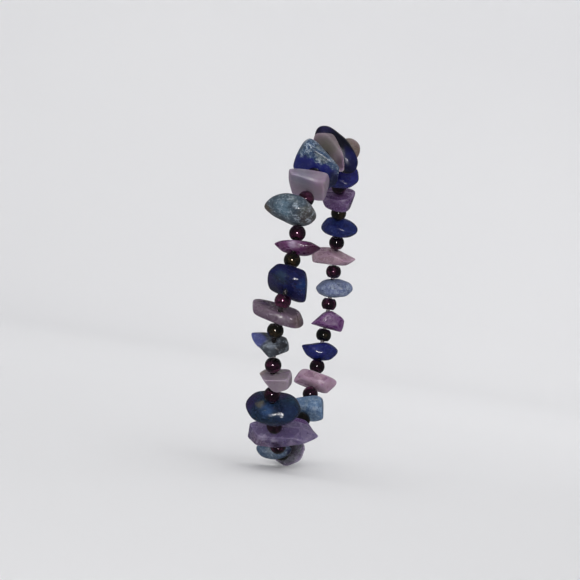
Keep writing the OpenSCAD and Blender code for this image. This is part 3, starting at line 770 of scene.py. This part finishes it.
def amethyst_material(name, milk, clear, glow):
    """Amethyst: cloudy quartz whose violet thins and deepens, with veils, fine pale healed cracks
    and a few rusty specks. Milk and clear are the shares of light that scatters in it and that
    passes through, and glow is how far it scatters."""
    p = Paint(name)
    own, stone, pattern, dull = p.chip_attributes()
    edge = p.attribute("edge", "Fac")
    mist = p.noise(own, 0.45, 4, 0.5, 0.6)
    veil = p.noise(p.stretched(own, (25, 40, 10), (0.35, 1.6, 0.5)), 0.9, 5, 0.62, 0.4)
    body = p.mix(mist.smooth(0.52, 0.34, 0.0, 0.7) * pattern, stone,
                 p.times(stone, (0.60, 0.48, 0.66)))
    body = p.mix(mist.smooth(0.50, 0.70, 0.0, 0.6) * pattern, body,
                 p.times(stone, (1.5, 1.6, 1.5)))
    dark_veil = p.noise(p.stretched(own, (60, 15, 35), (0.5, 1.4, 0.45)), 0.7, 4, 0.6, 0.5)
    body = p.mix(dark_veil.smooth(0.56, 0.70) * pattern * 0.55, body,
                 p.times(stone, (0.42, 0.26, 0.46)))
    threads = (1 - abs(veil - 0.5).smooth(0.0, 0.04)) * mist.smooth(0.42, 0.60) * pattern
    body = p.mix(threads * 0.35, body, rgb(186, 174, 198))
    body = p.mix(veil.smooth(0.58, 0.74) * pattern * 0.25, body, rgb(170, 160, 182))
    rust = p.noise(own, 1.9, 3, 0.6).smooth(0.70, 0.76) * mist.smooth(0.5, 0.6) * pattern
    body = p.mix(rust * 0.5, body, rgb(100, 66, 62))
    grain = p.noise(own, 3.2, 5, 0.7)
    # Sharp edges are painted pale: partly the frosted wear of a chipped edge, partly a painted
    # highlight
    wear_and_highlight = p.mix(0.5, stone, rgb(206, 196, 216))
    body = p.mix(edge * grain.smooth(0.42, 0.60) * 0.7, body, wear_and_highlight)
    frost = p.noise(own, 0.6, 3, 0.6).smooth(0.50, 0.66)
    height = grain * 0.35 + p.noise(own, 1.0, 3) * 1.2 + veil * 0.4
    return p.finish(Base_Color=body, IOR=1.54,
                    Roughness=0.18 + frost * 0.22 + grain * 0.12 + edge * 0.2 + dull * 0.25,
                    Transmission_Weight=clear, Subsurface_Weight=milk, Subsurface_Scale=glow,
                    Subsurface_Radius=(1.0, 0.8, 1.1),
                    Coat_Weight=0.35 - dull * 0.35, Coat_Roughness=0.05,
                    Normal=p.bump(height, 0.3, BUMP_HEIGHT, Normal=p.attribute("rounder")))


def iris_glass_material(name, dark, light, glint):
    """Iris glass: dark glass under a thin metallic finish whose colour drifts over each bead from
    dark over light to its glint, and is worn through in places."""
    p = Paint(name)
    own = p.attribute("own")
    film = p.noise(own, 0.75, 2, 0.5, 0.6)
    wear = p.noise(own, 3.5, 4, 0.6)
    # The tone attribute shifts each bead's colour; on bead 8 it is a painted sheen
    tone = film * 0.8 + wear * 0.2 + p.attribute("tone", "Fac")
    body = p.ramp(tone, (0.36, dark), (0.52, light), (0.68, glint))
    return p.finish(Base_Color=body, Metallic=0.75 - wear.smooth(0.60, 0.72) * 0.4,
                    Roughness=0.07 + wear * 0.12, IOR=1.5, Coat_Weight=1.0, Coat_Roughness=0.03,
                    Normal=p.bump(film + wear * 0.2, 0.12, FILM_HEIGHT))


def elastic_material(colours):
    """Clear stretch thread: cloudy, with fine streaks along it."""
    p = Paint("Clear elastic")
    own = p.attribute("own")
    streak = p.noise(p.stretched(own, (0, 0, 0), (6, 6, 0.35)), 1.0, 4, 0.6)
    body = p.mix(streak.smooth(0.35, 0.65), colours.thread_clear, rgb(140, 134, 136))
    return p.finish(Base_Color=body, Roughness=0.08 + streak * 0.1, IOR=1.30,
                    Transmission_Weight=0.95, Normal=p.bump(streak, 0.2, STREAK_HEIGHT))


def length(name, description, size, least=1.0):
    """A property for a length, whose default and least are in millimetres."""
    return FloatProperty(name=name, description=description, default=size * MM, min=least * MM,
                         unit="LENGTH", subtype="DISTANCE")


def finish_colour(name, description, red, green, blue):
    """A property for a colour, whose default is given as it shows on a screen."""
    return FloatVectorProperty(name=name, description=description, subtype="COLOR", size=3,
                               min=0, max=1, default=rgb(red, green, blue))


class BraceletSizes(bpy.types.PropertyGroup):
    """Sizes of the chips, beads and thread."""

    chip_width: length("Chip width", "Width of a standard chip across the band", 10)
    chip_depth: length("Chip depth", "Depth of a standard chip, outwards", 5)
    chip_thickness: length("Chip thickness", "Thickness of a standard chip along the thread", 4)
    spacer_diameter: length("Spacer diameter", "Diameter of a glass spacer bead", 2.95)
    spacer_length: length("Spacer length", "Length of a spacer bead between its flat ends", 2.2)
    thread_diameter: length("Thread diameter", "Diameter of the elastic thread", 0.8, 0.1)
    hole_diameter: length("Hole diameter", "Diameter of the holes of chips and beads", 1.0, 0.1)
    bead_gap: length("Bead gap", "Space between neighbours on the thread", 0.2, 0.0)


class BraceletColours(bpy.types.PropertyGroup):
    """Leading colour of each finish."""

    lapis: finish_colour("Lapis", "Deep lapis chips", 30, 36, 92)
    denim_lapis: finish_colour("Denim lapis", "Pale lapis chips", 104, 128, 142)
    amethyst: finish_colour("Amethyst", "Violet amethyst chips", 112, 76, 124)
    pale_amethyst: finish_colour("Pale amethyst", "Pale, cloudy chips", 150, 134, 148)
    thread_clear: finish_colour("Thread", "Clear elastic thread", 112, 106, 110)


class BRACELET_OT_lapis_chips(bpy.types.Operator):
    """Make the deep lapis chips"""

    bl_idname = "bracelet.lapis_chips"
    bl_label = "Lapis chips"

    def execute(self, context):
        make_chips(context.scene, "lapis", lapis_material())
        return {"FINISHED"}


class BRACELET_OT_denim_chips(bpy.types.Operator):
    """Make the pale denim-blue lapis chips"""

    bl_idname = "bracelet.denim_chips"
    bl_label = "Denim lapis chips"

    def execute(self, context):
        make_chips(context.scene, "denim_lapis", denim_material())
        return {"FINISHED"}


class BRACELET_OT_amethyst_chips(bpy.types.Operator):
    """Make the violet amethyst chips"""

    bl_idname = "bracelet.amethyst_chips"
    bl_label = "Amethyst chips"

    def execute(self, context):
        make_chips(context.scene, "amethyst", amethyst_material("Amethyst", 0.6, 0.25, 1.5 * MM))
        return {"FINISHED"}


class BRACELET_OT_pale_amethyst_chips(bpy.types.Operator):
    """Make the pale, cloudy amethyst chips"""

    bl_idname = "bracelet.pale_amethyst_chips"
    bl_label = "Pale amethyst chips"

    def execute(self, context):
        make_chips(context.scene, "pale_amethyst",
                   amethyst_material("Pale amethyst", 0.9, 0.10, 2.5 * MM))
        return {"FINISHED"}


class BRACELET_OT_spacer_beads(bpy.types.Operator):
    """Make the round glass spacer beads of both colours"""

    bl_idname = "bracelet.spacer_beads"
    bl_label = "Spacer beads"

    def execute(self, context):
        sizes = context.scene.bracelet_sizes
        purple = iris_glass_material("Purple iris glass", rgb(7, 2, 11), rgb(42, 8, 34),
                                     rgb(104, 48, 80))
        bronze = iris_glass_material("Bronze iris glass", rgb(4, 8, 7), rgb(26, 24, 16),
                                     rgb(78, 62, 40))
        make_spacers(sizes, False, purple, "purple_spacers")
        make_spacers(sizes, True, bronze, "bronze_spacers")
        return {"FINISHED"}


class BRACELET_OT_elastic_thread(bpy.types.Operator):
    """Make the clear elastic thread"""

    bl_idname = "bracelet.elastic_thread"
    bl_label = "Elastic thread"

    def execute(self, context):
        make_thread(context.scene.bracelet_sizes, elastic_material(context.scene.bracelet_colours))
        return {"FINISHED"}


def studio_floor(rest):
    """A pale dish, all round: flat out to a radius, then a quarter circle up to a low wall."""
    flat, bend, wall = 0.55, 0.35, 0.5
    steps, columns = 12, 96
    turn = np.radians(np.linspace(0, 90, 2 * steps + 1))
    profile = np.vstack([np.stack([np.linspace(0.02, flat, steps), np.zeros(steps)], 1),
                         np.stack([flat + bend * np.sin(turn), bend * (1 - np.cos(turn))], 1)[1:],
                         [(flat + bend, bend + wall)]])
    points = carried_round(profile + (0, rest), columns)
    faces = grid_faces(len(profile), columns)[:-columns].tolist()
    mesh = bpy.data.meshes.new("studio_floor")
    mesh.from_pydata(points, [], [*faces, list(range(columns))])
    mesh.shade_smooth()
    p = Paint("Studio floor")
    tone = p.noise(p.node("TexCoord", out="Object"), 3.0, 3, 0.5)
    body = p.mix(tone, rgb(226, 226, 228), rgb(232, 232, 233))
    mesh.materials.append(p.finish(Base_Color=body, Roughness=0.85))
    floor = bpy.data.objects.new("studio_floor", mesh)
    bpy.context.scene.collection.objects.link(floor)
    floor.visible_glossy = False


def area_light(name, size, power, tint, azimuth, elevation, distance, mirrored=False,
               target=(0, 0, 0), spread=180):
    """A square soft light that shines at the target from an azimuth from the near side towards +X,
    an elevation and a distance. One that isn't mirrored only softens the shade, and doesn't show in
    polished surfaces. A spread below 180 degrees keeps it off the floor in front of it."""
    light = bpy.data.lights.new(name, "AREA")
    light.shape, light.size, light.energy, light.color = "SQUARE", size, power, tint
    light.spread = math.radians(spread)
    lamp = bpy.data.objects.new(name, light)
    lamp.visible_glossy = mirrored
    bpy.context.scene.collection.objects.link(lamp)
    a, e = math.radians(azimuth), math.radians(elevation)
    place = distance * Vector((math.sin(a) * math.cos(e), -math.cos(a) * math.cos(e), math.sin(e)))
    turn = (Vector(target) - place).to_track_quat("-Z", "Y").to_matrix().to_4x4()
    lamp.matrix_world = Matrix.Translation(place) @ turn


# The camera's place: degrees from the near side towards +X, the roll about its own axis, and its
# distance. The picture is PICTURE pixels wide and high, and the loop's middle lies at LOOP_PIXEL.
VIEW_AZIMUTH, VIEW_ROLL = 11.4, 9.0
VIEW_DISTANCE = 0.380
PIXELS_PER_METRE = 5400
PICTURE = 580
LOOP_PIXEL = (307.5, 302.5)
SENSOR = 36


class BRACELET_OT_stage(bpy.types.Operator):
    """Make the pale floor, the soft lights and the camera"""

    bl_idname = "bracelet.stage"
    bl_label = "Stage"

    def execute(self, context):
        scene = context.scene
        studio_floor(CAD_BOX[0][2] - 0.05 * MM)
        white, warm, cool = (1, 1, 1), (1, 0.98, 0.96), (0.96, 0.98, 1)
        area_light("Softbox", 0.059, 0.068, warm, 7, 3, 0.55, mirrored=True, spread=44)
        area_light("Overhead", 0.9, 4.2, white, 10, 70, 0.9)
        area_light("Fill left", 0.6, 0.8, cool, -60, 20, 0.7)
        area_light("Fill right", 0.6, 0.6, warm, 80, 10, 0.7)
        area_light("Fill back", 0.3, 0.5, white, 170, 45, 0.7)
        area_light("Backdrop", 0.6, 2.4, white, 180, 65, 0.83, target=(0, 0.9, 0.1))
        world = bpy.data.worlds.new("Studio")
        world.use_nodes = True
        background = world.node_tree.nodes["Background"]
        background.inputs["Color"].default_value = (0.9, 0.92, 0.95, 1)
        background.inputs["Strength"].default_value = 0.10
        scene.world = world
        scene.view_settings.view_transform = "Standard"
        data = bpy.data.cameras.new("Camera")
        data.sensor_width = SENSOR
        data.lens = SENSOR * PIXELS_PER_METRE * VIEW_DISTANCE / PICTURE
        data.clip_start, data.clip_end = 0.01, 10
        camera = bpy.data.objects.new("Camera", data)
        scene.collection.objects.link(camera)
        a, roll = math.radians(VIEW_AZIMUTH), math.radians(VIEW_ROLL)
        back = Vector((math.sin(a), -math.cos(a), 0))
        level = Vector((math.cos(a), math.sin(a), 0))
        right = level * math.cos(roll) + Vector((0, 0, 1)) * math.sin(roll)
        up = back.cross(right)
        across, above = PICTURE / 2 - LOOP_PIXEL[0], LOOP_PIXEL[1] - PICTURE / 2
        aside = (right * across + up * above) / PIXELS_PER_METRE
        turn = Matrix((right, up, back)).transposed().to_4x4()
        camera.matrix_world = Matrix.Translation(back * VIEW_DISTANCE + aside) @ turn
        scene.camera = camera
        return {"FINISHED"}


class BRACELET_PT_pieces(bpy.types.Panel):
    """Lists what can be made"""

    bl_label = "Beaded stretch bracelet"
    bl_idname = "BRACELET_PT_pieces"
    bl_space_type = "VIEW_3D"
    bl_region_type = "UI"
    bl_category = "Bracelet"

    def draw(self, context):
        for operator in OPERATORS:
            self.layout.operator(operator.bl_idname)
        for group in (context.scene.bracelet_sizes, context.scene.bracelet_colours):
            box = self.layout.box()
            for name in group.__annotations__:
                box.prop(group, name)


OPERATORS = (BRACELET_OT_lapis_chips, BRACELET_OT_denim_chips, BRACELET_OT_amethyst_chips,
             BRACELET_OT_pale_amethyst_chips, BRACELET_OT_spacer_beads, BRACELET_OT_elastic_thread,
             BRACELET_OT_stage)
CLASSES = (BraceletSizes, BraceletColours, *OPERATORS, BRACELET_PT_pieces)


def register():
    for item in CLASSES:
        bpy.utils.register_class(item)
    bpy.types.Scene.bracelet_sizes = PointerProperty(type=BraceletSizes)
    bpy.types.Scene.bracelet_colours = PointerProperty(type=BraceletColours)


def unregister():
    del bpy.types.Scene.bracelet_sizes
    del bpy.types.Scene.bracelet_colours
    for item in reversed(CLASSES):
        bpy.utils.unregister_class(item)


def main():
    """Makes every piece in order."""
    register()
    for operator in OPERATORS:
        group, name = operator.bl_idname.split(".")
        getattr(getattr(bpy.ops, group), name)()
    bpy.context.view_layer.update()


if __name__ == "__main__":
    main()
